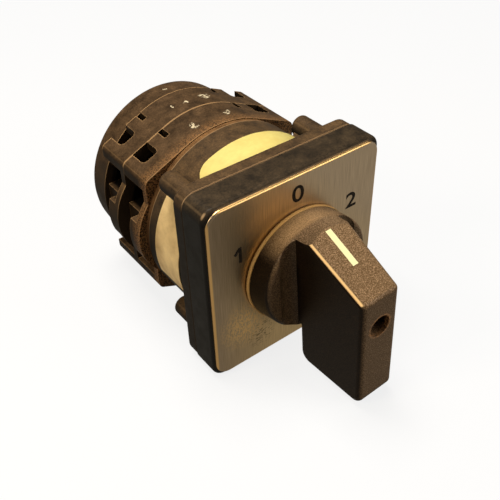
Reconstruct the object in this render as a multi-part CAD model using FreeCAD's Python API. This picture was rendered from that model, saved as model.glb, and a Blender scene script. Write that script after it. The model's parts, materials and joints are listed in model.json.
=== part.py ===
import FreeCAD, Part
import math
import os

# Rotary cam switch, sizes in millimetres. X runs to the right seen from the knob,
# Y runs from the knob to the rear, Z is up. The switch axis is the Y axis, and
# y = 0 is the panel plane, where the front frame meets the rear flange.

Vec = FreeCAD.Vector

# Fits shared by the pieces
running_fit = 0.05
sliding_fit = 0.10
thread_fit = 0.05

# Front frame, moulded, with a shallow recess for the dial plate
frame_margin = 0.8
frame_depth = 7.6
frame_corner = 3.0
frame_shoulder = 1.2
frame_border = 0.6
recess_depth = 0.5
frame_wall = 2.0
frame_front_wall = 2.2
frame_boss = 8.5
frame_rib = 1.6
seam_round = 0.3

# Dial plate, a flat metal sheet with a rolled front edge
plate_fit = 0.05
plate_corner = 3.6
plate_sheet = 0.9
plate_edge = 0.5
plate_hole = 7.0

# Panel screws, one at each corner of a square
panel_pitch = 37.2
panel_hole = 1.75
panel_boss = 4.2
panel_blind_depth = 5.6

# Mechanism housing, one moulding: flange, corner posts and round case
flange_corner = 3.6
flange_depth = 3.5
flange_edge = 0.6
post_radius = 2.7
post_end = 13.9
post_end_round = 0.8
post_web = 3.2
case_radius = 23.2
case_end = 18.3
case_wall = 3.0

# Labels, thin sheet on the round case
label_sheet = 0.15
label_gap = 0.03
label_setback = 0.3
top_label_left_deg = 36.0
top_label_right_deg = 38.0
top_label_rear = 11.5
side_label_front = 5.3
side_label_rear = 15.1
side_label_top_deg = 141.0
side_label_bottom_deg = 195.0

# Partition plate between the mechanism and the first contact cell
partition_inset = 0.25
partition_thickness = 1.4

# Contact cells, two equal mouldings open to the rear, as round as the case.
# Their rooms and openings follow one another from the flat side inwards.
cell_count = 2
cell_depth = 10.25
cell_floor = 1.85
cell_flat = 1.8
facet_deg = 24.0
cell_corner = 1.75
cell_wall = 1.7
chamber_room = 2.7
chamber_web = 1.7
entry_margin = 0.6
entry_height = 8.2
window_rim = 1.2
window_width = 4.2
window_lip = 1.4
window_depth = 5.1
window_corner = 1.2
notch_width = 1.3
notch_depth = 3.2
bulge_rise = 3.6
bulge_radius = 15.0
bulge_depth = 4.5

# Contact gear inside each cell
plunger_half = 3.0
gear_rear_room = 1.65
gear_front = 2.4
nose_radius = 1.2
nose_fit = 0.08
neck_half = 1.2
neck_height = 2.3
bridge_thickness = 0.8
bridge_end_room = 2.0
bridge_side_room = 1.5
tip_margin = 1.6
tip_radius = 1.3
tip_height = 0.5
gap_margin = 0.05
strip_thickness = 1.0
strip_width = 5.6
strip_roof_room = 1.0
strip_tip_margin = 1.7
strip_bend_margin = 0.6
strip_screw_margin = 2.0
strip_foot_drop = 0.3
strip_rear_gap = 0.25
strip_offset = 0.2
terminal_screw_shank = 1.45
terminal_head_radius = 2.0
terminal_head_height = 1.6
terminal_screw_length = 4.0
clamp_half = 2.2
clamp_thickness = 1.8
spring_radius = 2.1
spring_wire = 0.25
spring_turns = 5.0

# Cams: an even rise over the whole profile
cam_radius = 7.5
plunger_travel = 1.5
switch_angle_deg = 60.0
cam_hub = 4.6
cam_front = 2.6

# Tie bolts, from the end cap to nuts in the front of the housing
tie_inset = 3.7
tie_shank = 1.5
tie_hole = 1.65
tie_head_radius = 2.75
tie_head_height = 2.0
tie_head_room = 3.0
tie_boss = 4.2
nut_across_flats = 5.5
nut_height = 2.4
nut_seat = 8.0
nut_clearance = 0.05

# End cap
cap_depth = 8.2
cap_inset = 0.3
cap_draft = 0.7
cap_edge = 1.8
cap_wall = 2.3
cap_boss = 5.0
pin_radius = 2.4
pin_length = 3.5

# Shaft and detent wheel
shaft_across = 5.0
shaft_chamfer = 0.35
journal_radius = 5.0
wheel_mean_radius = 9.4
wheel_wave = 1.0
wheel_notches = 6
wheel_front = 6.5
wheel_rear = 13.5
wheel_flange_radius = 6.5
finger_radius = 11.8
finger_half_deg = 8.0
finger_front = 4.2
finger_rear = 5.8
stop_play_deg = 1.0
stop_overlap = 1.8
stop_reach = 1.7
stop_width_deg = 10.0

# Detent springs, bent strips above and below the wheel
detent_strip = 0.6
detent_nose = 1.5
detent_nose_gap = 0.1
detent_width = 6.4
detent_knee = 1.0
detent_knee_x = 8.6
detent_end_x = 13.2
detent_end_room = 0.45
peg_setback = 0.2
peg_length = 2.8
peg_height = 1.5

# Knob, one moulding: leaning drum with a finger bar across it
knob_gap = 0.3
knob_turned_deg = 3.0
drum_radius = 14.4
collar_step = 0.2
collar_height = 0.8
collar_round = 0.1
drum_foot = 0.4
drum_front = -15.3
hood_reach = 9.0
drum_lean = 0.2016
drum_taper = 0.0403
drum_edge = 0.9
bar_front = -34.5
bar_half_front = 5.05
bar_half_rear = 5.7
bar_top_front = 8.5
bar_slope = 0.45
bar_low_reach = 8.5
bar_toe = 2.2
bar_heel = 3.0
bar_edge = 1.3
bar_top_round = 1.2
bar_high_reach = 3.6
bar_root = 4.0
tail_face = -15.2
tail_overlap = 4.4
scoop_radius = 4.5
scoop_x = 7.9
scoop_depth = 0.9
knob_wall = 1.9
knob_hub = 5.5
core_half = 3.6
core_rim = 0.6
upper_core_reach = 9.8
upper_core_rim = 3.9
lower_core_reach = 15.8
lower_core_rim = 2.4
tail_core_wall = 1.7
tail_core_drop = 0.2
screw_well = 2.7
screw_seat = -19.1
socket_end = -17.1
knob_screw_shank = 1.45
knob_screw_head = 2.4
knob_screw_head_height = 1.6
knob_screw_tip = -10.6
slot_width = 0.7
slot_depth = 0.7
pointer_half_width = 0.7
pointer_rear = -18.5
pointer_front = -26.9
pointer_depth = 0.4

# Places worked out from the sizes above: the front
frame_half = case_radius + frame_margin
plate_half = frame_half - frame_border
plate_seat = recess_depth - frame_depth
plate_front = plate_seat - plate_sheet
knob_rear = plate_front - knob_gap
panel_place = panel_pitch / 2

# The stack along Y and the radii that follow the case
partition_end = case_end + partition_thickness
cells_end = partition_end + cell_count * cell_depth
cap_end = cells_end + cap_depth
case_bore = case_radius - case_wall
partition_radius = case_radius - partition_inset
cell_radius = case_radius
cell_side = cell_radius - cell_flat
cap_front_radius = cell_radius - cap_inset
cap_rear_radius = cap_front_radius - cap_draft
bearing_bore = journal_radius + running_fit
tie_place = case_bore - tie_inset

# The ends of the detent springs, just inside the bore
detent_end_z = math.sqrt((case_bore - detent_end_room) ** 2 - detent_end_x ** 2) - detent_strip / 2
peg_outer = detent_end_x - peg_setback
peg_inner = peg_outer - peg_length

# Rooms of a cell along X, from the flat side inwards
inner_side = cell_side - cell_wall
inner_radius = cell_radius - cell_wall
window_outer = inner_side - window_rim
window_inner = window_outer - window_width
terminal_room_inner = window_inner - window_lip
contact_chamber_half = terminal_room_inner - chamber_web
notch_inner = contact_chamber_half - notch_width
entry_low = tie_boss + entry_margin
entry_high = entry_low + entry_height
terminal_screw_x = (window_inner + window_outer) / 2
bridge_half = contact_chamber_half - bridge_end_room
tip_place = bridge_half - tip_margin
strip_inner_end = tip_place - strip_tip_margin
strip_bend = terminal_room_inner - strip_bend_margin
strip_outer_end = terminal_screw_x + strip_screw_margin

# The gear of a cell along Y, and along Z from the cell's roof down to the cam
gear_width = cell_depth - cam_front - gear_rear_room
bridge_width = gear_width - bridge_side_room
strip_middle = cell_depth - strip_rear_gap - strip_width / 2
terminal_screw_y = strip_middle + strip_offset
facet_sin = math.sin(math.radians(facet_deg))
facet_cos = math.cos(math.radians(facet_deg))
roof_at_bend = (inner_radius - (strip_bend + strip_thickness / 2) * facet_sin) / facet_cos
strip_low = roof_at_bend - strip_roof_room - strip_thickness
contact_gap = plunger_travel + gap_margin
bridge_top = strip_low - 2 * tip_height - contact_gap
bridge_low = bridge_top - bridge_thickness
neck_top = bridge_top + neck_height
contact_chamber_low = bridge_low - plunger_travel - sliding_fit
strip_foot_low = bridge_low - strip_foot_drop
chamber_radius = cam_radius + chamber_room
cam_rate = plunger_travel / math.radians(switch_angle_deg)
spring_outer_end = inner_radius - 0.3

# The knob's bar and hollows, from the drum's radius outwards and inwards
bar_bottom = -(drum_radius + bar_low_reach)
bar_top = drum_radius + bar_high_reach
tail_reach = drum_radius - tail_overlap
upper_core_top = drum_radius - upper_core_rim
lower_core_low = drum_radius - lower_core_rim
tail_core_high = drum_radius + tail_core_drop
tail_core_low = -bar_bottom - tail_core_wall
corners = [(sx, sz) for sx in (-1, 1) for sz in (-1, 1)]
sides = {"left": -1, "right": 1}
levels = {"upper": 1, "lower": -1}


def box(x0, x1, y0, y1, z0, z1):
    low = Vec(min(x0, x1), min(y0, y1), min(z0, z1))
    return Part.makeBox(abs(x1 - x0), abs(y1 - y0), abs(z1 - z0), low)


def cylinder_y(radius, y0, y1, x=0.0, z=0.0):
    return Part.makeCylinder(radius, y1 - y0, Vec(x, y0, z), Vec(0, 1, 0))


def cylinder_z(radius, z0, z1, x, y):
    return Part.makeCylinder(radius, z1 - z0, Vec(x, y, z0), Vec(0, 0, 1))


def rounded_wire(points, radii, place):
    """Closed wire through flat points, each corner rounded by its own radius."""
    count = len(points)
    starts, middles, ends = [], [], []
    for i, radius in enumerate(radii):
        corner = Vec(points[i][0], points[i][1], 0)
        back = (Vec(points[i - 1][0], points[i - 1][1], 0) - corner).normalize()
        follow = points[(i + 1) % count]
        ahead = (Vec(follow[0], follow[1], 0) - corner).normalize()
        half = back.getAngle(ahead) / 2
        inward = (back + ahead).normalize()
        centre = corner + inward * (radius / math.sin(half))
        reach = radius / math.tan(half)
        starts.append(corner + back * reach)
        middles.append(centre - inward * radius)
        ends.append(corner + ahead * reach)
    edges = []
    for i in range(count):
        if radii[i] > 0:
            arc = [place(p.x, p.y) for p in (starts[i], middles[i], ends[i])]
            edges.append(Part.Arc(*arc).toShape())
        after = starts[(i + 1) % count]
        if (after - ends[i]).Length > 1e-6:
            edges.append(Part.makeLine(place(ends[i].x, ends[i].y), place(after.x, after.y)))
    return Part.Wire(edges)


def prism_y(points, radii, y0, y1):
    """Outline in X and Z, drawn out along Y."""
    wire = rounded_wire(points, radii, lambda x, z: Vec(x, y0, z))
    return Part.Face(wire).extrude(Vec(0, y1 - y0, 0))


def prism_x(points, radii, half):
    """Outline in Y and Z, drawn out along X on both sides of the middle."""
    wire = rounded_wire(points, radii, lambda y, z: Vec(-half, y, z))
    return Part.Face(wire).extrude(Vec(2 * half, 0, 0))


def prism_z(points, z0, z1):
    """Outline in X and Y, drawn out along Z."""
    wire = rounded_wire(points, [0] * len(points), lambda x, y: Vec(x, y, z0))
    return Part.Face(wire).extrude(Vec(0, 0, z1 - z0))


def turned(points, radii):
    """Outline of radius and Y, turned about the switch axis."""
    wire = rounded_wire(points, radii, lambda r, y: Vec(r, y, 0))
    return Part.Face(wire).revolve(Vec(0, 0, 0), Vec(0, 1, 0), 360)


def rounded_square(half, corner, y0, y1):
    points = [(half, half), (half, -half), (-half, -half), (-half, half)]
    return prism_y(points, [corner] * 4, y0, y1)


def polar(radius, degrees):
    """Point at an angle from +X towards +Z."""
    angle = math.radians(degrees)
    return radius * math.cos(angle), radius * math.sin(angle)


def sector(inner, outer, start_deg, end_deg, y0, y1):
    """Part of a ring between two angles from +X towards +Z."""
    reach = 2 * outer
    wedge = [(0, 0), polar(reach, start_deg), polar(reach, end_deg)]
    ring = cylinder_y(outer, y0, y1).cut(cylinder_y(inner, y0, y1))
    return ring.common(prism_y(wedge, [0, 0, 0], y0, y1))


def edges_where(shape, test):
    return [edge for edge in shape.Edges if all(test(v.Point) for v in edge.Vertexes)]


def square_bar(across, y0, y1):
    half = across / 2
    return box(-half, half, y0, y1, -half, half)


def mirrored(shape, axis):
    """Copy across the middle plane, along X or along Z."""
    normal = Vec(1, 0, 0) if axis == "x" else Vec(0, 0, 1)
    return shape.mirror(Vec(0, 0, 0), normal)


def edges_at_y(shape, y):
    return edges_where(shape, lambda p: abs(p.y - y) < 1e-6)


def dial_plate():
    sheet = rounded_square(plate_half, plate_corner, plate_front, plate_seat)
    sheet = sheet.makeFillet(plate_edge, edges_at_y(sheet, plate_front))
    return sheet.cut(cylinder_y(plate_hole, plate_front - 1, plate_seat + 1))


def front_frame():
    block = rounded_square(frame_half, frame_corner, -frame_depth, 0)
    block = block.makeFillet(frame_shoulder, edges_at_y(block, -frame_depth))
    block = block.makeFillet(seam_round, edges_at_y(block, 0))
    recess_half = plate_half + plate_fit
    recess_corner = plate_corner + plate_fit
    block = block.cut(rounded_square(recess_half, recess_corner, -frame_depth - 1, plate_seat))
    cavity_half = frame_half - frame_wall
    cavity_front = plate_seat + frame_front_wall
    cavity = rounded_square(cavity_half, frame_corner - frame_wall, cavity_front, 0)
    cavity = cavity.cut(cylinder_y(frame_boss, cavity_front, 0))
    for sx, sz in corners:
        x, z = sx * panel_place, sz * panel_place
        cavity = cavity.cut(cylinder_y(panel_boss, cavity_front, 0, x, z))
        block = block.cut(cylinder_y(panel_hole, -panel_blind_depth, 0, x, z))
    cavity = cavity.cut(box(-cavity_half, cavity_half, cavity_front, 0, -frame_rib / 2, frame_rib / 2))
    cavity = cavity.cut(box(-frame_rib / 2, frame_rib / 2, cavity_front, 0, -cavity_half, cavity_half))
    block = block.cut(cavity)
    return block.cut(cylinder_y(bearing_bore, plate_seat, 0))


def corner_post(sx, sz):
    """Round screw post, joined to the case by a web."""
    x, z = sx * panel_place, sz * panel_place
    post = cylinder_y(post_radius, flange_depth / 2, post_end, x, z)
    post = post.makeFillet(post_end_round, edges_at_y(post, post_end))
    along = (sx * math.sqrt(0.5), sz * math.sqrt(0.5))
    reach = panel_place * math.sqrt(2) - (case_radius - case_wall / 2)
    half = post_web / 2
    points = []
    for depth, side in ((0, half), (0, -half), (reach, -half), (reach, half)):
        points.append((x - along[0] * depth - along[1] * side, z - along[1] * depth + along[0] * side))
    return post.fuse(prism_y(points, [0] * 4, flange_depth / 2, post_end - 2 * post_end_round))


def detent_peg(side, low_z):
    """Peg on the housing's front wall that holds one end of a detent spring."""
    rear = wheel_rear + 1
    return box(side * peg_inner, side * peg_outer, flange_depth - 1, rear, low_z, low_z + peg_height)


def mechanism_housing():
    body = rounded_square(frame_half, flange_corner, 0, flange_depth)
    body = body.makeFillet(seam_round, edges_at_y(body, 0))
    body = body.makeFillet(flange_edge, edges_at_y(body, flange_depth))
    body = body.fuse(cylinder_y(case_radius, flange_depth - 1, case_end))
    for sx, sz in corners:
        body = body.fuse(corner_post(sx, sz))
    body = body.cut(cylinder_y(case_bore, flange_depth, case_end))
    strip_half = detent_strip / 2 + running_fit
    for side in sides.values():
        inner, outer = side * (tie_place - tie_boss), side * (case_bore + 1)
        boss = box(inner, outer, flange_depth - 1, case_end, -tie_boss, tie_boss)
        body = body.fuse(boss)
        upper = detent_end_z + strip_half
        lower = detent_end_z - strip_half - peg_height
        for low in (upper, lower, -upper - peg_height, -lower - peg_height):
            body = body.fuse(detent_peg(side, low))
    stop_start = switch_angle_deg + finger_half_deg + stop_play_deg
    for sign in (-1, 1):
        angles = sorted((sign * stop_start, sign * (stop_start + stop_width_deg)))
        inner, outer = finger_radius - stop_overlap, finger_radius + stop_reach
        stop = sector(inner, outer, angles[0], angles[1], flange_depth - 1, finger_rear)
        body = body.fuse(stop)
    for sx, sz in corners:
        body = body.cut(cylinder_y(panel_hole, -1, post_end + 1, sx * panel_place, sz * panel_place))
    for side in sides.values():
        body = body.cut(cylinder_y(tie_hole, 0, case_end, side * tie_place))
        body = body.cut(hexagon(nut_across_flats / 2 + nut_clearance, 0, nut_seat, side * tie_place))
    return body.cut(cylinder_y(bearing_bore, 0, flange_depth))


def hexagon(flat_half, y0, y1, x):
    reach = flat_half / math.cos(math.radians(30))
    points = [polar(reach, 60 * i + 30) for i in range(6)]
    return prism_y([(x + px, pz) for px, pz in points], [0] * 6, y0, y1)


def label_shell(y0, y1):
    inner = case_radius + label_gap
    return cylinder_y(inner + label_sheet, y0, y1).cut(cylinder_y(inner, y0, y1))


def top_label():
    """Strip over the top of the case, its left end fully rounded."""
    front = flange_depth + label_setback
    left = case_radius * math.sin(math.radians(top_label_left_deg))
    right = case_radius * math.sin(math.radians(top_label_right_deg))
    round_end = (top_label_rear - front) / 2 - 0.01
    points = [(-left, front), (right, front), (right, top_label_rear), (-left, top_label_rear)]
    wire = rounded_wire(points, [round_end, 0.3, 0.3, round_end], lambda x, y: Vec(x, y, 0))
    shell = label_shell(front, top_label_rear)
    return shell.common(Part.Face(wire).extrude(Vec(0, 0, 2 * case_radius)))


def side_label():
    reach = 2 * case_radius
    wedge = [(0, 0), polar(reach, side_label_top_deg), polar(reach, side_label_bottom_deg)]
    shell = label_shell(side_label_front, side_label_rear)
    return shell.common(prism_y(wedge, [0, 0, 0], side_label_front, side_label_rear))


def tie_holes(body, y0, y1):
    for side in sides.values():
        body = body.cut(cylinder_y(tie_hole, y0, y1, side * tie_place))
    return body


def partition_plate():
    plate = cylinder_y(partition_radius, case_end, partition_end)
    plate = plate.cut(cylinder_y(bearing_bore, case_end, partition_end))
    return tie_holes(plate, case_end, partition_end)


def cell_outline(radius, side, corner, y0, y1):
    """Round top and bottom, flat facets tangent to them, flat sides."""
    apex = radius / facet_cos
    ridge = (radius - side * facet_sin) / facet_cos
    points = [(0, apex), (side, ridge), (side, -ridge), (0, -apex), (-side, -ridge), (-side, ridge)]
    radii = [radius, corner, corner, radius, corner, corner]
    return prism_y(points, radii, y0, y1)


def side_bulge(side, front):
    """Round swelling on a flat side, at the closed front of the cell."""
    rear = front + bulge_depth
    centre = cell_side + bulge_rise - bulge_radius
    swelling = cylinder_y(bulge_radius, front, rear, side * centre)
    zone = box(side * (cell_side - cell_wall), side * 2 * cell_side, front, rear, -cell_side, cell_side)
    return swelling.common(zone)


def screw_window(sx, sz, front):
    """Opening over one terminal screw, its two inner corners rounded."""
    rear = front + cell_depth
    y_in = rear - window_depth
    inner, outer = sx * window_inner, sx * window_outer
    points = [(inner, y_in), (outer, y_in), (outer, rear + 1), (inner, rear + 1)]
    z0 = sz * (strip_foot_low + strip_thickness)
    wire = rounded_wire(points, [window_corner, window_corner, 0, 0], lambda x, y: Vec(x, y, z0))
    return Part.Face(wire).extrude(Vec(0, 0, sz * cell_radius))


def contact_cell(front):
    """One cell, open to the rear, with two contact chambers and four terminal rooms."""
    rear = front + cell_depth
    floor = front + cell_floor
    body = cell_outline(cell_radius, cell_side, cell_corner, front, rear)
    for side in sides.values():
        body = body.fuse(side_bulge(side, front))
    inner = cell_outline(inner_radius, inner_side, cell_corner / 3, floor, rear)
    beyond = 2 * cell_radius
    body = body.cut(cylinder_y(chamber_radius, floor, rear))
    guide = plunger_half + sliding_fit
    for sz in levels.values():
        low, high = sz * contact_chamber_low, sz * beyond
        chamber = box(-contact_chamber_half, contact_chamber_half, floor, rear, low, high)
        body = body.cut(inner.common(chamber))
        body = body.cut(box(-guide, guide, floor, rear, 0, sz * (contact_chamber_low + 1)))
    strip_room = strip_low + strip_thickness + 0.3
    for sx, sz in corners:
        low = sz * entry_low
        room = box(sx * terminal_room_inner, sx * beyond, floor, rear, low, sz * beyond)
        entry = box(sx * (inner_side - 1), sx * beyond, floor, rear, low, sz * entry_high)
        body = body.cut(inner.common(room)).cut(entry)
        from_x, to_x = sx * (contact_chamber_half - 1), sx * (terminal_room_inner + 0.1)
        passage_low = sz * (strip_foot_low - 0.3)
        passage = box(from_x, to_x, front + gear_front, rear, passage_low, sz * strip_room)
        body = body.cut(passage)
        body = body.cut(screw_window(sx, sz, front))
        notch_front = rear - notch_depth
        notch_outer = contact_chamber_half
        notch = box(sx * notch_inner, sx * notch_outer, notch_front, rear, sz * strip_room, sz * beyond)
        body = body.cut(notch)
    body = body.cut(cylinder_y(cam_hub + running_fit, front, floor))
    return tie_holes(body, front, rear)


def end_cap():
    points = [(0, cells_end), (cap_front_radius, cells_end), (cap_rear_radius, cap_end), (0, cap_end)]
    body = turned(points, [0, 0, cap_edge, 0])
    floor = cap_end - cap_wall
    cavity = cylinder_y(cap_rear_radius - cap_wall, cells_end, floor)
    cavity = cavity.cut(cylinder_y(cap_boss, cells_end, floor))
    for side in sides.values():
        inner, outer = side * (tie_place - tie_boss), side * cell_radius
        post = box(inner, outer, cells_end, floor, -tie_boss, tie_boss)
        cavity = cavity.cut(post)
    body = body.cut(cavity)
    body = body.cut(cylinder_y(cam_hub + running_fit, cells_end, cells_end + 1))
    body = body.cut(cylinder_y(pin_radius + running_fit, cells_end, cells_end + pin_length + 1.2))
    for side in sides.values():
        body = body.cut(cylinder_y(tie_head_room, floor, cap_end, side * tie_place))
    return tie_holes(body, cells_end, cap_end)


def slotted_head(radius, height, face_y, outward, x=0.0):
    """Pan head lying along Y, its slot cut in the outer face."""
    low, high = sorted((face_y, face_y + outward * height))
    head = cylinder_y(radius, low, high, x)
    outer = face_y + outward * height
    inner = outer - outward * slot_depth
    return head.cut(box(x - radius, x + radius, inner, outer + outward, -slot_width / 2, slot_width / 2))


def tie_bolts():
    seat = cap_end - cap_wall
    tip = nut_seat - nut_height - 0.8
    bolts = []
    for side in sides.values():
        x = side * tie_place
        shank = cylinder_y(tie_shank, tip, seat + tie_head_height / 2, x)
        bolts.append(shank.fuse(slotted_head(tie_head_radius, tie_head_height, seat, 1, x)))
    return Part.makeCompound(bolts)


def tie_nuts():
    nuts = []
    for side in sides.values():
        x = side * tie_place
        nut = hexagon(nut_across_flats / 2, nut_seat - nut_height, nut_seat, x)
        bore = cylinder_y(tie_shank + thread_fit, nut_seat - nut_height, nut_seat, x)
        nuts.append(nut.cut(bore))
    return Part.makeCompound(nuts)


def shaft():
    """Square bar with a threaded front end and a round pin at the rear."""
    half = shaft_across / 2
    points = [(half, half), (half, -half), (-half, -half), (-half, half)]
    front = socket_end + 0.2
    bar = prism_y(points, [shaft_chamfer] * 4, front, cells_end + 0.5)
    bar = bar.fuse(cylinder_y(pin_radius, cells_end, cells_end + pin_length + 1))
    return bar.cut(cylinder_y(knob_screw_shank + thread_fit, front, knob_screw_tip + 0.5))


def wave_profile(y0, y1):
    """Closed smooth outline with the wheel's notches, one of them at the top."""
    steps = wheel_notches * 12
    points = []
    for i in range(steps):
        angle = 2 * math.pi * i / steps
        radius = wheel_mean_radius - wheel_wave * math.cos(wheel_notches * angle)
        points.append(Vec(radius * math.sin(angle), y0, radius * math.cos(angle)))
    curve = Part.BSplineCurve()
    curve.interpolate(points, PeriodicFlag=True)
    return Part.Face(Part.Wire(curve.toShape())).extrude(Vec(0, y1 - y0, 0))


def square_bore(y0, y1):
    return square_bar(shaft_across + 2 * running_fit, y0, y1)


def detent_wheel():
    wheel = wave_profile(wheel_front, wheel_rear)
    wheel = wheel.fuse(cylinder_y(journal_radius, plate_seat, partition_end))
    wheel = wheel.fuse(cylinder_y(wheel_flange_radius, finger_front, wheel_front + 0.5))
    swing = finger_half_deg
    finger = sector(journal_radius, finger_radius, -swing, swing, finger_front, finger_rear)
    wheel = wheel.fuse(finger)
    return wheel.cut(square_bore(plate_seat, partition_end))


def detent_spring(sign):
    """Bent strip, its rounded nose in the wheel's notch and its ends between pegs."""
    notch = wheel_mean_radius - wheel_wave
    nose_z = notch + detent_nose_gap + detent_nose
    mid = detent_nose - detent_strip / 2
    half = detent_strip / 2
    middle = (wheel_front + wheel_rear) / 2
    y0, y1 = middle - detent_width / 2, middle + detent_width / 2
    tip = nose_z - mid
    rise = (detent_end_z - tip) / detent_knee_x
    lean = math.hypot(1, rise)
    shift = half * lean
    end_low, end_high = detent_end_z - half, detent_end_z + half
    knee_low = (end_low - (tip - shift)) / rise
    knee_high = (end_high - (tip + shift)) / rise
    right = [(0, tip - shift), (knee_low, end_low), (detent_end_x, end_low)]
    right += [(detent_end_x, end_high), (knee_high, end_high), (0, tip + shift)]
    left = [(-x, z) for x, z in right[4:0:-1]]
    outer_knee = detent_knee + detent_strip
    radii = [detent_nose, detent_knee, 0, 0, outer_knee, detent_nose - detent_strip]
    radii += [outer_knee, 0, 0, detent_knee]
    strip = prism_y(right + left, radii, y0, y1)
    return strip if sign > 0 else mirrored(strip, "z")


def cam_outline(y0, y1):
    """Radius falls evenly from the left side to the right side over the top and bottom."""
    points = []
    steps = 24
    for i in range(-steps, steps + 1):
        angle = math.pi / 2 * i / steps
        radius = cam_radius - cam_rate * angle
        points.append(Vec(radius * math.sin(angle), y0, radius * math.cos(angle)))
    curve = Part.BSplineCurve()
    curve.interpolate(points)
    upper = curve.toShape()
    lower = mirrored(upper, "z")
    return Part.Face(Part.Wire([upper, lower])).extrude(Vec(0, y1 - y0, 0))


def cam(front):
    lobe_front = front + cam_front
    lobe = cam_outline(lobe_front, lobe_front + gear_width)
    body = lobe.fuse(cylinder_y(cam_hub, front, front + cell_depth))
    return body.cut(square_bore(front, front + cell_depth))


def plunger(front, sign):
    """Moulded pusher: rounded nose on the cam, shoulder under the bridge, neck above."""
    y0 = front + cam_front
    y1 = y0 + gear_width
    nose = cam_radius + nose_fit
    flank = nose + 1.6
    points = [(0, nose), (plunger_half, flank), (plunger_half, bridge_low)]
    points += [(-plunger_half, bridge_low), (-plunger_half, flank)]
    body = prism_y(points, [nose_radius, 0.5, 0, 0, 0.5], y0, y1)
    middle = (y0 + y1) / 2
    neck = box(-neck_half, neck_half, middle - neck_half, middle + neck_half, bridge_low - 1, neck_top)
    body = body.fuse(neck)
    return body if sign > 0 else mirrored(body, "z")


def bridge(front, sign):
    """Moving contact strip with a tip near each end and a hole for the plunger's neck."""
    middle = front + cam_front + gear_width / 2
    y0, y1 = middle - bridge_width / 2, middle + bridge_width / 2
    strip = box(-bridge_half, bridge_half, y0, y1, bridge_low, bridge_top)
    hole = neck_half + sliding_fit
    strip = strip.cut(box(-hole, hole, middle - hole, middle + hole, bridge_low, bridge_top))
    for side in sides.values():
        x = side * tip_place
        strip = strip.fuse(cylinder_z(tip_radius, bridge_top - 0.2, bridge_top + tip_height, x, middle))
    return strip if sign > 0 else mirrored(strip, "z")


def return_spring(front, sign):
    """Coil round the plunger's neck, from the bridge to the cell's outer wall."""
    middle = front + cam_front + gear_width / 2
    low = bridge_top + spring_wire
    height = spring_outer_end - spring_wire - low
    helix = Part.makeHelix(height / spring_turns, height, spring_radius)
    section = Part.Wire(Part.makeCircle(spring_wire, Vec(spring_radius, 0, 0), Vec(0, 1, 0)))
    coil = Part.Wire(helix).makePipeShell([section], True, True)
    coil = coil.translated(Vec(0, middle, low))
    return coil if sign > 0 else mirrored(coil, "z")


def fixed_contact(front, sx, sz):
    """Bent brass strip: contact tip at its inner end, screw foot at its outer end."""
    middle = front + strip_middle
    y0, y1 = middle - strip_width / 2, middle + strip_width / 2
    half = strip_thickness / 2
    foot_top = strip_foot_low + strip_thickness
    head_top = strip_low + strip_thickness
    points = [(strip_inner_end, strip_low), (strip_inner_end, head_top)]
    points += [(strip_bend + half, head_top), (strip_bend + half, foot_top)]
    points += [(strip_outer_end, foot_top), (strip_outer_end, strip_foot_low)]
    points += [(strip_bend - half, strip_foot_low), (strip_bend - half, strip_low)]
    strip = prism_y(points, [0, 0, 0.4, 0.2, 0, 0, 0.4, 0.2], y0, y1)
    tip_y = front + cam_front + gear_width / 2
    tip = cylinder_z(tip_radius, strip_low - tip_height, strip_low + 0.2, tip_place, tip_y)
    strip = strip.fuse(tip)
    hole_radius = terminal_screw_shank + 0.15
    hole_y = front + terminal_screw_y
    strip = strip.cut(cylinder_z(hole_radius, strip_foot_low, foot_top, terminal_screw_x, hole_y))
    if sx < 0:
        strip = mirrored(strip, "x")
    return strip if sz > 0 else mirrored(strip, "z")


def at_four_corners(shape):
    left = mirrored(shape, "x")
    return Part.makeCompound([shape, left, mirrored(shape, "z"), mirrored(left, "z")])


def terminal_screws(front):
    x, y = terminal_screw_x, front + terminal_screw_y
    seat = strip_foot_low + strip_thickness
    top = seat + terminal_head_height
    screw = cylinder_z(terminal_head_radius, seat, top, x, y)
    half, reach = slot_width / 2, 2 * terminal_head_radius
    screw = screw.cut(box(x - half, x + half, y - reach, y + reach, top - slot_depth, top))
    screw = screw.fuse(cylinder_z(terminal_screw_shank, seat - terminal_screw_length, seat + 0.2, x, y))
    return at_four_corners(screw)


def terminal_clamps(front):
    x, y = terminal_screw_x, front + terminal_screw_y
    low = strip_foot_low - clamp_thickness
    half = clamp_half
    clamp = box(x - half, x + half, y - half, y + half, low, strip_foot_low)
    thread = cylinder_z(terminal_screw_shank + thread_fit, low, strip_foot_low, x, y)
    return at_four_corners(clamp.cut(thread))


def drum_circle(y):
    """The drum leans upwards, so its circle rises and shrinks a little to the front."""
    travel = (knob_rear - drum_foot) - y
    radius = drum_radius - drum_taper * travel
    return Part.Wire(Part.makeCircle(radius, Vec(0, y, drum_lean * travel), Vec(0, 1, 0)))


def leaning_drum(front_y):
    return Part.makeLoft([drum_circle(knob_rear - drum_foot), drum_circle(front_y)], True, True)


def bar_half_width(y):
    share = (y - bar_front) / (drum_front - bar_front)
    return bar_half_front + (bar_half_rear - bar_half_front) * share


def bar_flanks(y0, y1):
    """Tapered block that gives the finger bar its two drafted sides."""
    points = [(bar_half_width(y0), y0), (bar_half_width(y1), y1)]
    points += [(-bar_half_width(y1), y1), (-bar_half_width(y0), y0)]
    return prism_z(points, 2 * bar_bottom, 2 * bar_top)


def slope_height(y):
    return bar_top_front + bar_slope * (y - bar_front)


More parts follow.
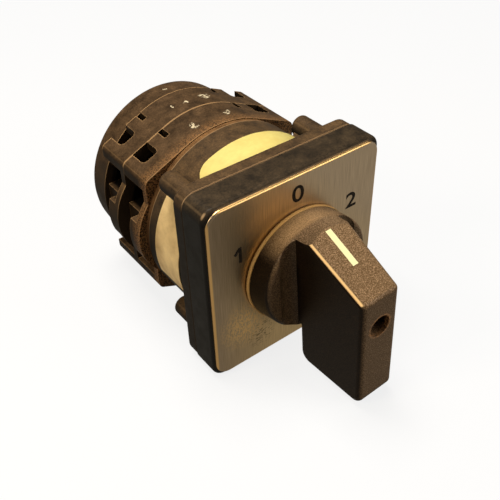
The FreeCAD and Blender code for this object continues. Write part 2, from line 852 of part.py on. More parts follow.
def finger_bar():
    """Side outline of the bar, drafted, rounded, and cut away above the drum."""
    inside = drum_front + bar_root
    top_y = bar_front + (bar_top - bar_top_front) / bar_slope
    points = [(bar_front, bar_top_front), (bar_front, bar_bottom), (tail_face, bar_bottom)]
    points += [(tail_face, -tail_reach), (inside, -tail_reach), (inside, bar_top_front), (top_y, bar_top)]
    radii = [bar_top_round, bar_toe, bar_heel, 0, 0, 0, 0]
    wide = 2 * bar_half_rear
    bar = prism_x(points, radii, wide).common(bar_flanks(bar_front - 1, inside))
    inner_half = bar_half_front - 1
    outer = edges_where(bar, lambda p: abs(p.x) > inner_half and (p.y < tail_face + 0.05 or p.z > tail_reach + 4))
    bar = bar.makeFillet(bar_edge, outer)
    hood = leaning_drum(drum_front - hood_reach)
    cut_front = drum_front - hood_reach + 0.1
    return bar.cut(box(-wide, wide, cut_front, inside + 1, 2, 2 * bar_top).cut(hood))


def finger_scoop(side):
    """Hollow beside the bar, cut in the drum's front."""
    y = drum_front + scoop_depth - scoop_radius
    length = 2 * (drum_radius + scoop_radius)
    scoop = Part.makeCylinder(scoop_radius, length, Vec(side * scoop_x, y, -length / 2), Vec(0, 0, 1))
    return scoop.cut(bar_flanks(bar_front - 1, drum_front + bar_root))


def slope_block(y0, y1, low, high, half):
    """Block between two heights measured square to the sloping top of the bar."""
    lean = math.hypot(1, bar_slope)
    points = []
    for y, offset in ((y0, low), (y1, low), (y1, high), (y0, high)):
        points.append((y - offset * bar_slope / lean, slope_height(y) + offset / lean))
    return prism_x(points, [0] * 4, half)


def knob_cores():
    """Hollows that open at the knob's rear: round the hub and inside the bar."""
    floor = drum_front + scoop_depth + knob_wall
    ring = cylinder_y(drum_radius - knob_wall, floor, knob_rear).cut(cylinder_y(knob_hub, floor, knob_rear))
    near = knob_hub + core_rim
    upper_front = drum_front - upper_core_reach
    lower_front = drum_front - lower_core_reach
    upper = box(-core_half, core_half, upper_front, knob_rear, near, upper_core_top)
    lower = box(-core_half, core_half, lower_front, knob_rear, -lower_core_low, -near)
    tail = box(-core_half, core_half, lower_front, tail_face, -tail_core_low, -tail_core_high)
    return [ring, upper, lower, tail]


def turned_on_shaft(shape):
    """The knob sits a few degrees turned on its shaft, its top to the left."""
    return shape.rotated(Vec(0, 0, 0), Vec(0, 1, 0), -knob_turned_deg)


def knob():
    drum = leaning_drum(drum_front)
    front_edge = edges_where(drum, lambda p: abs(p.y - drum_front) < 1e-3)
    drum = drum.makeFillet(drum_edge, front_edge)
    collar = cylinder_y(drum_radius + collar_step, knob_rear - collar_height, knob_rear)
    drum = drum.fuse(collar.makeFillet(collar_round, edges_at_y(collar, knob_rear - collar_height)))
    for side in sides.values():
        drum = drum.cut(finger_scoop(side))
    body = drum.fuse(finger_bar())
    for core in knob_cores():
        body = body.cut(core)
    body = body.cut(slope_block(pointer_front, pointer_rear, -pointer_depth, 2, pointer_half_width))
    body = turned_on_shaft(body)
    body = body.cut(square_bore(socket_end, knob_rear))
    body = body.cut(cylinder_y(knob_screw_shank + 0.15, screw_seat - 0.1, socket_end + 0.1))
    return body.cut(cylinder_y(screw_well, bar_front - 1, screw_seat))


def pointer_strip():
    strip = slope_block(pointer_front, pointer_rear, -pointer_depth, 0.05, pointer_half_width)
    return turned_on_shaft(strip)


def knob_screw():
    head = slotted_head(knob_screw_head, knob_screw_head_height, screw_seat, -1)
    return head.fuse(cylinder_y(knob_screw_shank, screw_seat - 0.2, knob_screw_tip))


def build_all():
    pieces = {
        "dial_plate": dial_plate(),
        "front_frame": front_frame(),
        "mechanism_housing": mechanism_housing(),
        "top_label": top_label(),
        "side_label": side_label(),
        "partition_plate": partition_plate(),
        "end_cap": end_cap(),
        "tie_bolts": tie_bolts(),
        "tie_nuts": tie_nuts(),
        "shaft": shaft(),
        "detent_wheel": detent_wheel(),
        "knob": knob(),
        "pointer_strip": pointer_strip(),
        "knob_screw": knob_screw(),
    }
    for level, sz in levels.items():
        pieces["detent_spring_" + level] = detent_spring(sz)
    for number in range(1, cell_count + 1):
        front = partition_end + (number - 1) * cell_depth
        pieces["contact_cell_%d" % number] = contact_cell(front)
        pieces["cam_%d" % number] = cam(front)
        pieces["terminal_screws_%d" % number] = terminal_screws(front)
        pieces["terminal_clamps_%d" % number] = terminal_clamps(front)
        for level, sz in levels.items():
            pieces["plunger_%d_%s" % (number, level)] = plunger(front, sz)
            pieces["bridge_%d_%s" % (number, level)] = bridge(front, sz)
            pieces["return_spring_%d_%s" % (number, level)] = return_spring(front, sz)
            for side, sx in sides.items():
                name = "fixed_contact_%d_%s_%s" % (number, level, side)
                pieces[name] = fixed_contact(front, sx, sz)
    return pieces


os.makedirs("parts", exist_ok=True)
for name, shape in build_all().items():
    shape.exportStep("parts/%s.step" % name)
    print(name, "solids", len(shape.Solids), "volume", round(shape.Volume, 1))
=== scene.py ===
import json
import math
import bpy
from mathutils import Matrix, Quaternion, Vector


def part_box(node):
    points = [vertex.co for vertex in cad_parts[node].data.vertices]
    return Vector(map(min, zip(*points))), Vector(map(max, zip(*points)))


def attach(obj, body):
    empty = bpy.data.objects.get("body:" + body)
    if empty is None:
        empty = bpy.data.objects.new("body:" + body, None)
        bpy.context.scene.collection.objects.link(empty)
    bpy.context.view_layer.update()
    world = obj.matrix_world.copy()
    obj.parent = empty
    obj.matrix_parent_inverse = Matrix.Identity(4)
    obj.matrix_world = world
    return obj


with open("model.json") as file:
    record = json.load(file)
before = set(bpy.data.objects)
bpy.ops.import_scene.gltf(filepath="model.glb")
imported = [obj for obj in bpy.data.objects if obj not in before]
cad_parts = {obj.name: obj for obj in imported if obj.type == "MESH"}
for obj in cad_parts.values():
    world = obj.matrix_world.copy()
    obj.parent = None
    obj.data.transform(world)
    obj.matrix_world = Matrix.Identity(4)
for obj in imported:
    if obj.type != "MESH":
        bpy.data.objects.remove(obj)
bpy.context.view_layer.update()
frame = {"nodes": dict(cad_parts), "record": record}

# %% [markdown]
# A rotary cam switch stands on a machine's panel: a square dial plate with a knob in front,
# a round stack of contact cells behind. The loaded frame already holds every solid piece at
# its real place and size. This lesson gives each piece its real finish, adds what is printed
# on the dial, and sets the floor, the light and the camera. Sizes are in metres.

MM = 0.001

# %% [markdown]
# Every finish below is a small network of nodes round one Principled shader. A few helpers
# keep those networks short. One starts a material. Some give a pattern: noise that can be
# stretched along an axis, a place along an axis, a distance, the way a surface faces, a seam
# or a sharp edge. Others band a pattern, join two, or mix colours by one. All patterns read
# Object coordinates, so they stay fixed to the piece when it moves.

# %% Helpers for the node networks
def start_material(name, colour, metallic=0.0, roughness=0.5):
    """New material with a Principled shader, its plain values set on the shader itself."""
    material = bpy.data.materials.new(name)
    material.use_nodes = True
    shader = material.node_tree.nodes["Principled BSDF"]
    shader.inputs["Base Color"].default_value = (*colour, 1.0)
    shader.inputs["Metallic"].default_value = metallic
    shader.inputs["Roughness"].default_value = roughness
    return material, shader


def object_coords(material, stretch=(1.0, 1.0, 1.0)):
    """Object coordinates in millimetres, each axis times its own factor."""
    nodes, links = material.node_tree.nodes, material.node_tree.links
    coords = nodes.new("ShaderNodeTexCoord")
    mapping = nodes.new("ShaderNodeMapping")
    mapping.inputs["Scale"].default_value = [factor / MM for factor in stretch]
    links.new(coords.outputs["Object"], mapping.inputs["Vector"])
    return mapping.outputs["Vector"]


def noise(material, scale, detail=3.0, stretch=(1.0, 1.0, 1.0), rough=0.5):
    """Noise whose features are about one over scale millimetres wide."""
    node = material.node_tree.nodes.new("ShaderNodeTexNoise")
    node.inputs["Scale"].default_value = scale
    node.inputs["Detail"].default_value = detail
    node.inputs["Roughness"].default_value = rough
    material.node_tree.links.new(object_coords(material, stretch), node.inputs["Vector"])
    return node.outputs["Fac"]


def banded(material, value, low, high, out_low=0.0, out_high=1.0):
    """Value spread from low..high to out_low..out_high and held inside them."""
    node = material.node_tree.nodes.new("ShaderNodeMapRange")
    ends = {"From Min": low, "From Max": high, "To Min": out_low, "To Max": out_high}
    for name, number in ends.items():
        node.inputs[name].default_value = number
    material.node_tree.links.new(value, node.inputs["Value"])
    return node.outputs["Result"]


def combine(material, operation, first, second):
    """One maths step between two values, or between a value and a number."""
    node = material.node_tree.nodes.new("ShaderNodeMath")
    node.operation = operation
    for socket, value in zip(node.inputs, (first, second)):
        if isinstance(value, (int, float)):
            socket.default_value = value
        else:
            material.node_tree.links.new(value, socket)
    return node.outputs["Value"]


def both(material, first, second):
    """Share where two patterns hold at once."""
    return combine(material, "MULTIPLY", first, second)


def blend_colour(material, share, first, second):
    """Colour between two others; each is a colour or another colour's socket."""
    node = material.node_tree.nodes.new("ShaderNodeMix")
    node.data_type = "RGBA"
    links = material.node_tree.links
    links.new(share, node.inputs["Factor"])
    for socket, colour in ((node.inputs[6], first), (node.inputs[7], second)):
        if isinstance(colour, tuple):
            socket.default_value = (*colour, 1.0)
        else:
            links.new(colour, socket)
    return node.outputs[2]


def raise_bumps(material, shader, height, strength, distance_mm):
    """Small relief from a pattern of heights."""
    node = material.node_tree.nodes.new("ShaderNodeBump")
    node.inputs["Strength"].default_value = strength
    node.inputs["Distance"].default_value = distance_mm * MM
    links = material.node_tree.links
    links.new(height, node.inputs["Height"])
    links.new(node.outputs["Normal"], shader.inputs["Normal"])


def place_of(material, axis):
    """How far a point lies along one axis, in millimetres."""
    node = material.node_tree.nodes.new("ShaderNodeSeparateXYZ")
    material.node_tree.links.new(object_coords(material), node.inputs["Vector"])
    return node.outputs[axis]


def axis_distance(material, middle=(0.0, 0.0, 0.0), axes=(1.0, 0.0, 1.0)):
    """How far a point lies from a line or a point, in millimetres; axes left at 0 don't count."""
    links = material.node_tree.links
    offset = material.node_tree.nodes.new("ShaderNodeVectorMath")
    offset.operation = "SUBTRACT"
    offset.inputs[1].default_value = [place * share for place, share in zip(middle, axes)]
    links.new(object_coords(material, axes), offset.inputs[0])
    length = material.node_tree.nodes.new("ShaderNodeVectorMath")
    length.operation = "LENGTH"
    links.new(offset.outputs["Vector"], length.inputs[0])
    return length.outputs["Value"]


def facing_share(material, direction, low, high, out_low=0.0, out_high=1.0):
    """Share that grows as a surface faces a direction."""
    nodes, links = material.node_tree.nodes, material.node_tree.links
    surface = nodes.new("ShaderNodeNewGeometry")
    turn = nodes.new("ShaderNodeVectorMath")
    turn.operation = "DOT_PRODUCT"
    turn.inputs[1].default_value = Vector(direction).normalized()
    links.new(surface.outputs["Normal"], turn.inputs[0])
    return banded(material, turn.outputs["Value"], low, high, out_low, out_high)


def seam_share(material, places_mm, half_width_mm):
    """Share that is 1 on thin lines round the body, at given places along Y."""
    along = place_of(material, "Y")
    share = 0.0
    for place in places_mm:
        away = combine(material, "ABSOLUTE", combine(material, "SUBTRACT", along, place), 0.0)
        line = banded(material, away, half_width_mm, half_width_mm / 2)
        share = combine(material, "MAXIMUM", line, share)
    return share


def edge_share(material, width_mm, low=0.02, high=0.22):
    """Share that is 1 on sharp outer edges and 0 on the flats, from a rounded normal."""
    nodes, links = material.node_tree.nodes, material.node_tree.links
    rounded = nodes.new("ShaderNodeBevel")
    rounded.samples = 6
    rounded.inputs["Radius"].default_value = width_mm * MM
    surface = nodes.new("ShaderNodeNewGeometry")
    turn = nodes.new("ShaderNodeVectorMath")
    turn.operation = "DOT_PRODUCT"
    links.new(rounded.outputs["Normal"], turn.inputs[0])
    links.new(surface.outputs["Normal"], turn.inputs[1])
    return banded(material, combine(material, "SUBTRACT", 1.0, turn.outputs["Value"]), low, high)


print("helpers ready")

# %% [markdown]
# The dial plate is a metal sheet with a gold tone and a rolled edge. Its face is brushed from
# top to bottom, so the noise is stretched along Z. A painted reflection runs over the face, from
# a dull tan at the left through warm gold to a grey beige at the upper right. The rolled edge
# gets a painted golden highlight; a pale golden patch and a few dark marks lie near the lower left
# corner.

# %% Gold-toned brushed plate
TAN_REFLECTION, GOLD_REFLECTION, BEIGE_REFLECTION = (0.58, 0.45, 0.3), (1.0, 0.76, 0.41), (0.86, 0.7, 0.5)
BRUSH_SHADOW, RIM_HIGHLIGHT = (0.24, 0.17, 0.1), (1.0, 0.64, 0.26)
GOLDEN_PATCH, STAIN_BROWN = (1.0, 0.68, 0.3), (0.05, 0.03, 0.015)
GOLDEN_PATCH_PLACE, STAIN_PLACE = (-15.0, 0.0, -11.0), (-10.5, 0.0, -16.5)


def brushed_plate():
    material, shader = start_material("brushed gold plate", (0.25, 0.19, 0.12), 1.0, 0.34)
    links = material.node_tree.links
    across, upward = place_of(material, "X"), place_of(material, "Z")
    # painted reflection: tan at the left, warm gold in the middle, grey beige towards the upper right
    tone = blend_colour(material, banded(material, across, -22.0, -8.0), TAN_REFLECTION, GOLD_REFLECTION)
    beige_reflection_share = banded(material, combine(material, "ADD", across, upward), 0.0, 28.0)
    tone = blend_colour(material, beige_reflection_share, tone, BEIGE_REFLECTION)
    fine = noise(material, 7.0, 4.0, (1.0, 1.0, 0.02))
    brushed = banded(material, fine, 0.3, 0.7, 0.0, 0.45)
    tone = blend_colour(material, brushed, tone, BRUSH_SHADOW)
    # a pale golden grainy patch near the lower left corner
    patch_share = banded(material, axis_distance(material, GOLDEN_PATCH_PLACE), 8.0, 2.0)
    grains = banded(material, noise(material, 2.2, 5.0, (1.3, 1.0, 0.6), 0.7), 0.46, 0.54)
    tone = blend_colour(material, both(material, patch_share, grains), tone, GOLDEN_PATCH)
    stain = banded(material, axis_distance(material, STAIN_PLACE), 5.0, 1.0)
    marks = banded(material, noise(material, 0.9, 6.0, (1.0, 1.0, 2.5), 0.7), 0.53, 0.6)
    tone = blend_colour(material, both(material, stain, marks), tone, STAIN_BROWN)
    # painted highlight: the rolled edge all round the plate is painted golden
    away = [combine(material, "ABSOLUTE", place, 0.0) for place in (across, upward)]
    painted_rim = banded(material, combine(material, "MAXIMUM", *away), 22.85, 23.1)
    tone = blend_colour(material, painted_rim, tone, RIM_HIGHLIGHT)
    links.new(tone, shader.inputs["Base Color"])
    shine = banded(material, fine, 0.25, 0.75, 0.3, 0.46)
    links.new(shine, shader.inputs["Roughness"])
    raise_bumps(material, shader, fine, 0.12, 0.02)
    return material


gold_plate = brushed_plate()
print(gold_plate.name)

# %% [markdown]
# The frame, the housing and the cells are dark mouldings that have darkened and gathered
# brown dust. One function makes all three: a base tone, a cloud of dust with painted sheen on
# faces that look upwards, worn edges and seams that a painted highlight makes lighter where they
# face up, and a fine uneven surface. Rounded edges that face up to the left get a thin painted
# glint. Only the numbers differ, as the real mouldings differ in age and dirt. Seams are places along
# Y.

# %% Dark mouldings with dust and worn edges
PANEL_SEAM, CASE_END, FIRST_CELL, SECOND_CELL, CAP_SEAM = 0.0, 18.3, 19.7, 29.95, 40.2
GLINT_FACING = (-0.71, -0.29, 0.64)


def dark_moulding(name, base, dust_and_sheen, wear_and_highlight, dust_and_sheen_amount=0.5, roughness=0.45, seams=()):
    material, shader = start_material(name, base, 0.0, roughness)
    shader.inputs["Specular IOR Level"].default_value = 0.09
    links = material.node_tree.links
    # dust and painted sheen: lighter on faces that look upwards
    upward = facing_share(material, (0, 0, 1), 0.0, 0.9, 0.04, 1.0)
    cloud = banded(material, noise(material, 0.3, 6.0, rough=0.65), 0.34, 0.7, 0.28, 1.0)
    speck = banded(material, noise(material, 2.4, 4.0, rough=0.7), 0.35, 0.7, 0.55, 1.0)
    dust_and_sheen_share = both(material, both(material, cloud, speck), upward)
    tone = blend_colour(material, both(material, dust_and_sheen_share, dust_and_sheen_amount), base, dust_and_sheen)
    seam_lines = seam_share(material, seams, 0.3)
    rubbed_and_lit = combine(material, "MAXIMUM", edge_share(material, 0.5), seam_lines)
    # edges and seams lighter where they face up: partly wear, partly a painted highlight
    upper = facing_share(material, (-0.3, 0, 1), 0.25, 0.9, 0.06, 0.9)
    tone = blend_colour(material, both(material, rubbed_and_lit, upper), tone, wear_and_highlight)
    # painted glint: rounded edges that face up to the left get a light line
    glint = facing_share(material, GLINT_FACING, 0.95, 1.0, 0.0, 0.7)
    tone = blend_colour(material, glint, tone, tuple(1.6 * value for value in wear_and_highlight))
    links.new(tone, shader.inputs["Base Color"])
    dull = banded(material, cloud, 0.0, 1.0, roughness - 0.08, roughness + 0.16)
    links.new(dull, shader.inputs["Roughness"])
    raise_bumps(material, shader, noise(material, 2.6, 5.0, rough=0.6), 0.2, 0.06)
    return material, shader


frame_plastic, _ = dark_moulding(
    "frame moulding", base=(0.009, 0.009, 0.0085), dust_and_sheen=(0.1, 0.068, 0.037),
    wear_and_highlight=(0.34, 0.22, 0.11), dust_and_sheen_amount=0.85, roughness=0.34, seams=(PANEL_SEAM,))
housing_plastic, _ = dark_moulding(
    "housing moulding", base=(0.012, 0.011, 0.01), dust_and_sheen=(0.2, 0.118, 0.052),
    wear_and_highlight=(0.32, 0.2, 0.1), dust_and_sheen_amount=0.9, roughness=0.42, seams=(PANEL_SEAM, CASE_END))
print(frame_plastic.name, "and", housing_plastic.name)

# %% [markdown]
# The contact cells are a brown-black pressed resin. Rusty grime sits in the gap before the
# first cell, the rooms inside are painted near black as shade, and flecks of old white paint
# are left on the tops. A place switches each pattern on: the grime by its distance behind the
# panel, the painted shade by its distance from the axis, the flecks by a list.

# %% Cell resin with grime and paint flecks
INSIDE_SHADE, RUSTY_GRIME, OLD_PAINT = (0.004, 0.003, 0.002), (0.32, 0.16, 0.06), (0.72, 0.62, 0.42)
PAINT_FLECKS = [  # X, Y and radius of each
    (-0.3, 43.6, 0.3), (-0.4, 33.5, 0.5), (5.4, 34.2, 1.35),
    (4.7, 24.0, 1.0), (-5.1, 23.8, 0.9), (-3.9, 34.7, 0.5)]


def cell_resin():
    material, shader = dark_moulding(
        "cell resin", base=(0.014, 0.009, 0.005), dust_and_sheen=(0.17, 0.1, 0.048), wear_and_highlight=(0.38, 0.23, 0.105),
        dust_and_sheen_amount=0.95, roughness=0.42, seams=(FIRST_CELL, SECOND_CELL, CAP_SEAM))
    links = material.node_tree.links
    tone = shader.inputs["Base Color"].links[0].from_socket
    along = place_of(material, "Y")
    # painted shade: the rooms inside the cells are painted near black
    inside = both(
        material, banded(material, axis_distance(material), 21.3, 20.6),
        banded(material, along, CAP_SEAM + 0.2, CAP_SEAM - 0.1))
    tone = blend_colour(material, inside, tone, INSIDE_SHADE)
    grime = banded(material, noise(material, 2.6, 6.0, rough=0.75), 0.46, 0.56)
    near = banded(material, along, FIRST_CELL + 3.7, FIRST_CELL - 0.3)
    tone = blend_colour(material, both(material, grime, near), tone, RUSTY_GRIME)
    flaked = banded(material, noise(material, 1.5, 4.0, rough=0.6), 0.44, 0.54)
    ragged = banded(material, noise(material, 0.9, 3.0), 0.3, 0.7, -0.8, 0.8)
    on_top = banded(material, place_of(material, "Z"), 20.0, 20.5)
    for x, y, radius in PAINT_FLECKS:
        distance = axis_distance(material, (x, y, 0.0), (1.0, 1.0, 0.0))
        away = combine(material, "ADD", distance, ragged)
        spot = both(material, banded(material, away, radius, radius * 0.6), flaked)
        tone = blend_colour(material, both(material, spot, on_top), tone, OLD_PAINT)
    links.new(tone, shader.inputs["Base Color"])
    return material


cell_plastic = cell_resin()
partition_board, _ = dark_moulding(
    "dirty board", base=(0.045, 0.02, 0.008), dust_and_sheen=(0.34, 0.18, 0.07),
    wear_and_highlight=(0.3, 0.16, 0.07), dust_and_sheen_amount=1.0, roughness=0.75)
print(cell_plastic.name, "and", partition_board.name)

# %% [markdown]
# The knob is moulded in a brown-black resin with a fine spark grain, like hammered powder.
# A fine noise with a high threshold lays bright grains over a darker base, and the same noise,
# at low strength, raises the surface, so the light breaks up on every slope. Both tones are painted
# lit on faces that look to the front and the top, and painted in shade, near black, elsewhere. Painted
# highlights lie on the bar's left edge, the drum's top and its collar; rust lies in the screw's well.

# %% Knob resin with spark grain
SHADED_BASE, LIT_BASE = (0.006, 0.003, 0.001), (0.135, 0.08, 0.037)
SHADED_SPARK, LIT_SPARK = (0.026, 0.014, 0.006), (0.5, 0.325, 0.18)
GLINT_GOLD, DRUM_TOP_HIGHLIGHT = (1.0, 0.66, 0.3), (0.36, 0.22, 0.1)
COLLAR_HIGHLIGHT, WELL_RUST = (0.75, 0.45, 0.16), (0.5, 0.25, 0.1)


def knob_resin():
    material, shader = start_material("knob resin", (0.06, 0.036, 0.018), 0.0, 0.36)
    shader.inputs["Specular IOR Level"].default_value = 0.12
    links = material.node_tree.links
    along = place_of(material, "Y")
    # painted light and shade: lit tones on faces towards the front and top, near black on the others
    lit = facing_share(material, (0.25, -0.6, 0.75), 0.15, 0.9)
    grain = noise(material, 4.2, 2.0, rough=0.7)
    base = blend_colour(material, lit, SHADED_BASE, LIT_BASE)
    spark = blend_colour(material, lit, SHADED_SPARK, LIT_SPARK)
    tone = blend_colour(material, banded(material, grain, 0.46, 0.7), base, spark)
    # painted glint: a golden line along the bar's rounded left edge
    glint = both(
        material, facing_share(material, GLINT_FACING, 0.955, 0.995),
        banded(material, along, -15.4, -16.4))
    tone = blend_colour(material, glint, tone, GLINT_GOLD)
    # painted highlight on the upward-facing top of the drum
    lit_drum_top = both(
        material, facing_share(material, (-0.2, 0, 1), 0.75, 0.98),
        banded(material, along, -14.6, -13.8, 0.0, 0.8))
    lit_drum_top = both(material, lit_drum_top, banded(material, grain, 0.35, 0.65, 0.25, 1.0))
    tone = blend_colour(material, lit_drum_top, tone, DRUM_TOP_HIGHLIGHT)
    # painted highlight: a golden ring on the collar at the drum's foot
    tone = blend_colour(material, banded(material, along, -9.2, -9.05), tone, COLLAR_HIGHLIGHT)
    well = both(
        material, banded(material, axis_distance(material), 3.3, 2.75),
        banded(material, along, -33.0, -34.0))
    rust = banded(material, noise(material, 1.8, 5.0, rough=0.7), 0.42, 0.58)
    tone = blend_colour(material, both(material, well, rust), tone, WELL_RUST)
    links.new(tone, shader.inputs["Base Color"])
    links.new(banded(material, grain, 0.3, 0.7, 0.46, 0.3), shader.inputs["Roughness"])
    raise_bumps(material, shader, grain, 0.3, 0.05)
    return material


knob_plastic = knob_resin()
print(knob_plastic.name)

# %% [markdown]
# The small finishes: a bare yellow paper label, a bare foil label, the pale pointer inlay,
# and what can be glimpsed inside, such as tarnished brass contacts, plated screws, spring
# steel and the pale inner mouldings. Each one is a base tone broken up by a cloud.

# %% Labels, inlay and inner finishes
def clouded(name, base, cloud, metallic, roughness, scale=0.4):
    material, shader = start_material(name, base, metallic, roughness)
    pattern = noise(material, scale, 5.0, rough=0.6)
    tone = blend_colour(material, banded(material, pattern, 0.35, 0.7), base, cloud)
    material.node_tree.links.new(tone, shader.inputs["Base Color"])
    shine = banded(material, pattern, 0.3, 0.7, roughness - 0.06, roughness + 0.12)
    material.node_tree.links.new(shine, shader.inputs["Roughness"])
    raise_bumps(material, shader, pattern, 0.08, 0.03)
    return material


finishes = {
    "gold_plate": gold_plate,
    "frame_plastic": frame_plastic,
    "housing_plastic": housing_plastic,
    "cell_plastic": cell_plastic,
    "partition_board": partition_board,
    "knob_plastic": knob_plastic,
    "yellow_label": clouded("yellow label", (0.86, 0.74, 0.24), (0.76, 0.6, 0.17), 0.0, 0.42, 0.25),
    "foil_label": clouded("foil label", (1.0, 0.75, 0.36), (0.5, 0.33, 0.14), 0.2, 0.4, 0.11),
    "pointer_inlay": clouded("pointer inlay", (1.0, 0.98, 0.56), (0.94, 0.9, 0.48), 0.0, 0.4, 0.5),
    "inner_plastic": clouded("inner moulding", (0.55, 0.51, 0.42), (0.4, 0.36, 0.28), 0.0, 0.5),
    "screw_steel": clouded("tarnished screw", (0.16, 0.11, 0.06), (0.07, 0.045, 0.022), 1.0, 0.5, 0.8),
    "spring_steel": clouded("spring steel", (0.42, 0.4, 0.37), (0.28, 0.25, 0.2), 1.0, 0.35),
    "contact_brass": clouded("tarnished brass", (0.42, 0.26, 0.08), (0.16, 0.09, 0.03), 1.0, 0.42, 0.6),
}
print(len(finishes), "finishes")

# %% [markdown]
# Each node of the record names the slot that its finish belongs to, so one loop hands the
# finishes out. The meshes themselves are left as they are.

# %% Hand the finishes to the nodes
slot_of = {part["node"]: part["material_slot"] for part in frame["record"]["subparts"]}
for node_name, slot_name in slot_of.items():
    node_object = frame["nodes"][node_name]
    for slot in node_object.material_slots:
        slot.material = finishes[slot_name]
print("finished nodes", len(slot_of))

# %% [markdown]
# The dial shows 1, 0 and 2, close to a sixth of a turn apart. On the real plate they are printed,
# so they are thin solid figures that lie on the plate's face. Two are typed as text and made a
# mesh; the 1 is drawn from two strokes. The place is then applied, so that each sits at the origin.

# %% Printed figures on the dial
plate_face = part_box("dial_plate")[0][1]
figure_radius = 18.8 * MM
figure_height = 4.2 * MM
figure_widening = 1.2
stroke_gain = 0.02
stroke_width = 0.76 * MM
ink_depth = 0.03 * MM
cap_share = 0.73

ink, ink_shader = start_material("printed ink", (0.012, 0.01, 0.008), 0.0, 0.55)
rubbed_ink = banded(ink, noise(ink, 2.0, 4.0), 0.4, 0.7)
worn_ink = blend_colour(ink, rubbed_ink, (0.01, 0.008, 0.006), (0.04, 0.03, 0.02))
ink.node_tree.links.new(worn_ink, ink_shader.inputs["Base Color"])
ink_shader.inputs["Specular IOR Level"].default_value = 0.1


def typed_figure(figure):
    """Flat figure lying at the origin, its foot on the X axis."""
    bpy.ops.object.select_all(action="DESELECT")
    bpy.ops.object.text_add()
    text = bpy.context.object
    text.data.body = figure
    text.data.size = figure_height / cap_share
    text.data.align_x = "CENTER"
    text.data.offset = stroke_gain * figure_height
    text.data.extrude = ink_depth
    bpy.ops.object.convert(target="MESH")
    bpy.context.object.scale.x = figure_widening
    return bpy.context.object


def drawn_one():
    """The plain typed 1 has no flag, so this one is drawn from two solid strokes."""
    stem, flag = (0.35, 2.1, 4.2, 0), (-0.42, 3.15, 1.95, -42)
    strokes = []
    for x, y, length, turn in (stem, flag):
        bpy.ops.object.select_all(action="DESELECT")
        bpy.ops.mesh.primitive_cube_add(size=1, location=(x * MM, y * MM, 0))
        stroke = bpy.context.object
        stroke.dimensions = (stroke_width, length * MM, 2 * ink_depth)
        stroke.rotation_euler.z = math.radians(turn)
        strokes.append(stroke)
    strokes[1].scale.z *= 0.9
    for stroke in strokes:
        stroke.select_set(True)
    bpy.context.view_layer.objects.active = strokes[0]
    bpy.ops.object.join()
    bpy.ops.object.transform_apply(location=True, rotation=True, scale=True)
    return bpy.context.object


def printed_figure(figure, degrees):
    """One upright figure on the dial, its centre at an angle from the top, to the right."""
    printed = drawn_one() if figure == "1" else typed_figure(figure)
    printed.name = "dial_figure_" + figure
    angle = math.radians(degrees)
    middle = Vector((figure_radius * math.sin(angle), plate_face, figure_radius * math.cos(angle)))
    printed.rotation_euler = (math.radians(90), 0, 0)
    printed.location = middle - Vector((0, 0, figure_height / 2))
    bpy.ops.object.transform_apply(location=True, rotation=True, scale=True)
    printed.data.materials.append(ink)
    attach(printed, "switch_body")
    return printed


dial_step = 58
dial = (("1", -dial_step), ("0", 0), ("2", dial_step))
figures = [printed_figure(name, degrees) for name, degrees in dial]
print([figure.name for figure in figures])

# %% [markdown]
# The switch rests on the lower edge of its front frame, on a plain pale floor. The background
# is white where the camera looks past the object. Is Camera Ray makes floor and world white for
# the eye: near the switch the floor keeps its shadow, and far from it the white takes over, so no
# horizon shows. Is Glossy Ray gives the metal an even pale floor to show, and Is Diffuse Ray
# keeps the light that the floor throws back on the object low, so the left faces stay dark.

# %% Floor and world
floor_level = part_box("front_frame")[0][2]
floor_half = 1.5
bpy.ops.object.select_all(action="DESELECT")
bpy.ops.mesh.primitive_plane_add(size=2 * floor_half, location=(0, 0, floor_level))
floor = bpy.context.object
floor.name = "studio_floor"
floor_paint = bpy.data.materials.new("pale floor")
floor_paint.use_nodes = True
nodes, links = floor_paint.node_tree.nodes, floor_paint.node_tree.links
matt = nodes["Principled BSDF"]
matt.inputs["Roughness"].default_value = 0.9
matt.inputs["Specular IOR Level"].default_value = 0.1
seen = nodes.new("ShaderNodeLightPath")
pale, bounced = (0.86, 0.88, 0.9), (0.4, 0.38, 0.35)
tone = blend_colour(floor_paint, seen.outputs["Is Diffuse Ray"], pale, bounced)
links.new(tone, matt.inputs["Base Color"])
surface = matt.outputs["BSDF"]
distance = axis_distance(floor_paint, axes=(1.0, 1.0, 0.0))
to_the_eye = ("Is Camera Ray", banded(floor_paint, distance, 120.0, 500.0, 0.82, 1.0), (1.0, 1.0, 1.0))
in_the_metal = ("Is Glossy Ray", 0.95, (0.27, 0.24, 0.195))
for rays, share, colour in (to_the_eye, in_the_metal):
    glow = nodes.new("ShaderNodeEmission")
    glow.inputs["Color"].default_value = (*colour, 1)
    mix = nodes.new("ShaderNodeMixShader")
    links.new(both(floor_paint, seen.outputs[rays], share), mix.inputs["Fac"])
    links.new(surface, mix.inputs[1])
    links.new(glow.outputs["Emission"], mix.inputs[2])
    surface = mix.outputs["Shader"]
links.new(surface, nodes["Material Output"].inputs["Surface"])
floor.data.materials.append(floor_paint)

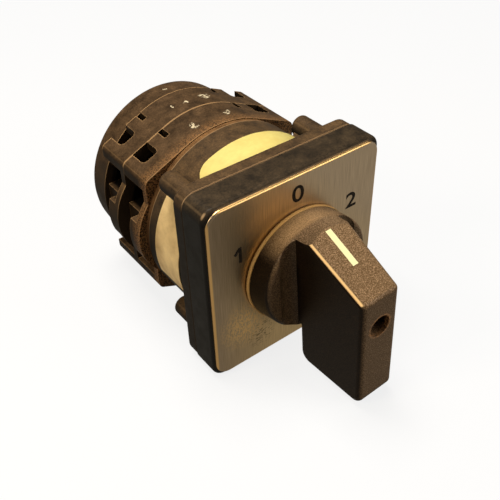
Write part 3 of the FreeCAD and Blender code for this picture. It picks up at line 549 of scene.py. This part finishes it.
world = bpy.data.worlds.new("studio world")
bpy.context.scene.world = world
world.use_nodes = True
nodes, links = world.node_tree.nodes, world.node_tree.links
soft = nodes["Background"]
soft.inputs["Color"].default_value = (1.0, 0.97, 0.93, 1)
soft.inputs["Strength"].default_value = 0.07
white = nodes.new("ShaderNodeBackground")
white.inputs["Color"].default_value = (1, 1, 1, 1)
white.inputs["Strength"].default_value = 1.0
path = nodes.new("ShaderNodeLightPath")
pick = nodes.new("ShaderNodeMixShader")
links.new(path.outputs["Is Camera Ray"], pick.inputs["Fac"])
links.new(soft.outputs["Background"], pick.inputs[1])
links.new(white.outputs["Background"], pick.inputs[2])
links.new(pick.outputs["Shader"], nodes["World Output"].inputs["Surface"])
print("floor at", round(floor_level / MM, 2), "mm")

# %% [markdown]
# Three soft lamps: the main one above and a little behind, so that edges and the round tops
# catch a long highlight, a weaker one at the front right for the plate and the knob's end,
# and a warm one at the upper left that draws a highlight along the rounded edges.

# %% Soft lamps
switch_middle = Vector((0, 10, 0)) * MM


def soft_lamp(name, place_mm, size_mm, watts, colour):
    """Square area lamp that looks at the middle of the switch."""
    data = bpy.data.lights.new(name, "AREA")
    data.energy = watts
    data.size = size_mm * MM
    data.color = colour
    lamp = bpy.data.objects.new(name, data)
    bpy.context.scene.collection.objects.link(lamp)
    lamp.location = Vector(place_mm) * MM
    lamp.rotation_euler = (switch_middle - lamp.location).to_track_quat("-Z", "Y").to_euler()
    return lamp


soft_lamp("top lamp", (-10, 90, 420), 200, 1.75, (1.0, 0.93, 0.84))
soft_lamp("front lamp", (260, -380, 200), 220, 0.7, (1.0, 0.95, 0.88))
soft_lamp("left lamp", (-330, 30, 260), 130, 0.7, (1.0, 0.86, 0.64))
print("three lamps")

# %% [markdown]
# The camera stands where the photograph was taken from: to the left, in front and above.
# Its place and lens came from straight edges and circles of the picture.

# %% Camera
camera_data = bpy.data.cameras.new("camera")
camera_data.lens = 52.07
camera_data.sensor_width = 36.0
camera_data.clip_start = 0.005
camera = bpy.data.objects.new("camera", camera_data)
bpy.context.scene.collection.objects.link(camera)
camera.location = Vector((-81.62, -102.91, 107.69)) * MM
azimuth, elevation = math.radians(35.85), math.radians(39.84)
level = math.cos(elevation)
forward = Vector((math.sin(azimuth) * level, math.cos(azimuth) * level, -math.sin(elevation)))
roll = Quaternion((0, 0, 1), math.radians(-2.02))
camera.rotation_euler = (forward.to_track_quat("-Z", "Y") @ roll).to_euler()
bpy.context.scene.camera = camera
bpy.context.scene.view_settings.view_transform = "Standard"
print("camera looks along", [round(value, 3) for value in forward])
